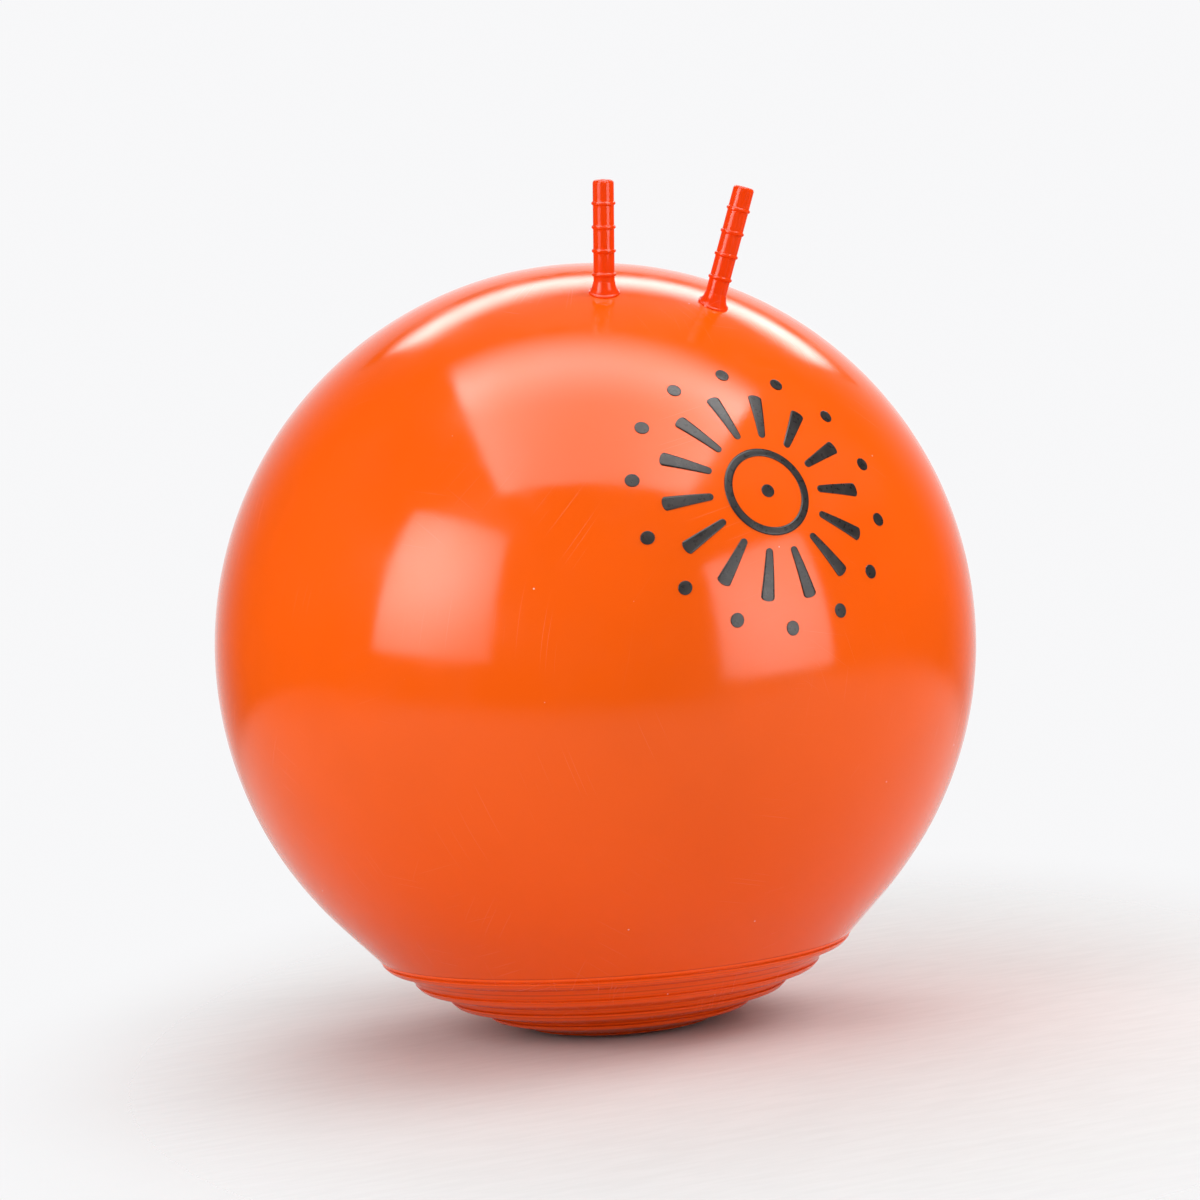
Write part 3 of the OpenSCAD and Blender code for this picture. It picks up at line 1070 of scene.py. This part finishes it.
def add_rear_card():
    """A long soft strip behind the ball that fades upwards, brighter towards its ends."""
    reach = 4
    width = 4.4
    height = 1.6
    tilt = 0.19
    end_rise = 0.12
    low_band = -0.55, -0.05
    high_band = 0.0, 0.75
    end_band = 1.9, width / 2
    made, tree, x, y = new_card("rear_card")
    rise = remap(tree, y, *low_band)
    fade = remap(tree, y, *high_band, 1.0, 0.0)
    ends = remap(tree, maths(tree, "ABSOLUTE", x), *end_band, 1.0, 0.0)
    lift = maths(tree, "ADD", product(tree, maths(tree, "POWER", x, 2.0), end_rise), 1.0)
    show(tree, glow(tree, WHITE, product(tree, rise, fade, ends, lift, REAR_CARD)))
    away = direction(azimuth=175, elevation=42.3)
    matrix = facing_matrix(BALL + reach * away, -away, UP + tilt * direction(90, 0))
    hang("rear_card", made, matrix, width, height)


def add_screen():
    """A dark screen round the front of the ball, which keeps the front softboxes off its far side.

    It is clear from the front, beside the ball itself and where the horns look through it.
    """
    width = 3.0
    height = 1.1
    cut_r = math.sqrt(BALL_R ** 2 - SCREEN_AHEAD ** 2)
    ball_edge = cut_r + 2 * MM, cut_r + 20 * MM
    window_sides = 160 * MM, 130 * MM
    window_bottom = 262 * MM, 272 * MM
    bottom_edge = -120 * MM, -60 * MM
    top_edge = height / 2, 450 * MM
    made, tree, x, y = new_card("dark_screen")
    beyond = remap(tree, distance(tree, x, y), *ball_edge)
    between = remap(tree, maths(tree, "ABSOLUTE", x), *window_sides)
    window = product(tree, between, remap(tree, y, *window_bottom))
    bottom = remap(tree, y, *bottom_edge)
    top = remap(tree, y, *top_edge)
    behind = node(tree, "ShaderNodeNewGeometry").outputs["Backfacing"]
    closed = maths(tree, "SUBTRACT", 1.0, window)
    ahead = maths(tree, "SUBTRACT", 1.0, behind)
    shut = product(tree, beyond, closed, bottom, top, ahead)
    clear = node(tree, "ShaderNodeBsdfTransparent")
    show(tree, either(tree, shut, clear, glow(tree, STUDIO_DARK)))
    matrix = facing_matrix(BALL + SCREEN_AHEAD * TO_CAMERA, TO_CAMERA, UP)
    hang("dark_screen", made, matrix, width, height)


def add_lights():
    ceiling = add_ceiling_box(
        "ceiling_box", CEILING_LIGHT, height=2.0, turn=-4, left=-0.93, right=1.5, rear=-0.5, front=1.82)
    left = add_side_box(
        "left_box", LEFT_LIGHT, azimuth=-47.3, elevation=21.8, reach=1.65, size=(1.13, 1.28), lean=6)
    right = add_side_box(
        "right_box", RIGHT_LIGHT, azimuth=53.8, elevation=8.3, reach=1.65, size=(1.15, 1.10), lean=4)
    add_side_box("left_fill", LEFT_FILL, azimuth=-95, elevation=30, reach=2.2, size=(1.6, 1.6))
    add_side_box("right_fill", RIGHT_FILL, azimuth=95, elevation=40, reach=2.2, size=(1.6, 1.6))
    add_side_box("rear_fill", REAR_FILL, azimuth=175, elevation=40, reach=2.4, size=(2.0, 1.6))
    add_side_box("front_fill", FRONT_FILL, azimuth=5, elevation=20, reach=2.4, size=(2.0, 1.2))
    bpy.context.view_layer.update()
    add_ceiling_card(ceiling)
    add_panel_card("left_card", left, LEFT_CARD, at_x=-0.16, at_y=0.12, spread=0.54)
    add_panel_card("right_card", right, RIGHT_CARD, at_x=-0.05, at_y=0.0, spread=0.70)
    add_rear_card()
    add_screen()


def oval(tree, side, front, middle, squeeze):
    """A distance from a place on the floor that counts the way to the sides by that factor."""
    return distance(tree, product(tree, maths(tree, "SUBTRACT", side, middle), squeeze), front)


def add_floor():
    """A pale floor that fades into the background away from the object."""
    fibre_size = 60 * MM
    fibre_stretch = (1, 5, 1)
    dark_paper = (0.58, 0.575, 0.575, 1)
    pale_paper = (0.61, 0.607, 0.607, 1)
    near_band = 0.4, 1.1
    far_band = 0.9, 1.5
    radii = [0, 0.2, 0.5, 0.9, 1.3, 1.7, 2.2, 3.0, 4.2]
    made, tree = new_material("floor_paper")
    coords = place(tree)
    side = vector_maths(tree, "DOT_PRODUCT", coords, direction(90, 0))
    front = vector_maths(tree, "DOT_PRODUCT", coords, direction(0, 0))
    far = oval(tree, side, front, middle=-0.5, squeeze=0.4)
    near = oval(tree, side, front, middle=0.1, squeeze=1.7)
    inputs = {"Vector": coords, "Rotation": (0, 0, -CAMERA_AZIMUTH), "Scale": fibre_stretch}
    along = node(tree, "ShaderNodeMapping", inputs).outputs[0]
    fibre = noise_at(tree, along, fibre_size, 6.0, 0.65)
    tint = mix_colour(tree, remap(tree, fibre, 0.3, 0.7), dark_paper, pale_paper)
    paper = node(tree, "ShaderNodeBsdfDiffuse", {"Color": tint})
    clear = node(tree, "ShaderNodeBsdfTransparent")
    seen = node(tree, "ShaderNodeLightPath").outputs["Is Camera Ray"]
    shown = product(tree, seen, remap(tree, near, *near_band))
    fade = maths(tree, "MAXIMUM", shown, remap(tree, far, *far_band))
    show(tree, either(tree, fade, paper, clear))
    mesh = revolve("floor", [(r, 0) for r in radii], FLOOR_STEPS)
    mesh.flip_normals()
    mesh.materials.append(made)
    floor = add_object("floor", mesh)


def add_dark_walls():
    """The unlit walls of the studio, which only reflections see, with the pale backdrop behind."""
    walls_r = 7
    walls_low = -3.5
    backdrop_sides = math.radians(4), math.radians(58)
    backdrop_top = math.sin(math.radians(18)), math.sin(math.radians(42))
    made, tree = new_material("studio_dark")
    ahead = vector_maths(tree, "NORMALIZE", place(tree))
    behind = vector_maths(tree, "DOT_PRODUCT", ahead, direction(180, 0))
    aside = vector_maths(tree, "DOT_PRODUCT", ahead, direction(90, 0))
    turn = maths(tree, "ABSOLUTE", maths(tree, "ARCTAN2", aside, behind))
    open_width = remap(tree, turn, *backdrop_sides, 1.0, 0.0)
    open_height = remap(tree, parts_of(tree, ahead)["Z"], *backdrop_top, 1.0, 0.45)
    tint = mix_colour(tree, product(tree, open_width, open_height), STUDIO_DARK, BACKGROUND)
    show(tree, glow(tree, tint))
    bm = bmesh.new()
    bmesh.ops.create_uvsphere(bm, u_segments=48, v_segments=32, radius=walls_r)
    low = [face for face in bm.faces if face.calc_center_median().z < walls_low]
    bmesh.ops.delete(bm, geom=low, context="FACES")
    mesh = fill(bpy.data.meshes.new("studio_walls"), bm)
    mesh.materials.append(made)
    walls = add_object("studio_walls", mesh)
    walls.location = BALL
    only_reflected(walls)
    walls.visible_transmission = False


def add_world():
    """A pale background for the camera and for reflections, and a dimmer fill for the rest."""
    world = bpy.data.worlds.new("studio")
    scene.world = world
    world.use_nodes = True
    tree = world.node_tree
    tree.nodes.clear()
    path = node(tree, "ShaderNodeLightPath").outputs
    seen = maths(tree, "ADD", path["Is Camera Ray"], path["Is Glossy Ray"])
    seen = maths(tree, "ADD", seen, path["Is Transmission Ray"])
    shown = node(tree, "ShaderNodeBackground", {"Color": BACKGROUND, "Strength": 1.0})
    dim = node(tree, "ShaderNodeBackground", {"Color": SKY, "Strength": SKY_LIGHT})
    both = either(tree, seen, dim, shown)
    node(tree, "ShaderNodeOutputWorld", {"Surface": both.outputs[0]})


build_ball()
build_base()
build_horn("left_horn", 1)
build_horn("right_horn", -1)
build_valve_seat()
build_plug()
build_print()
add_camera()
add_lights()
add_floor()
add_dark_walls()
add_world()

bpy.context.view_layer.update()
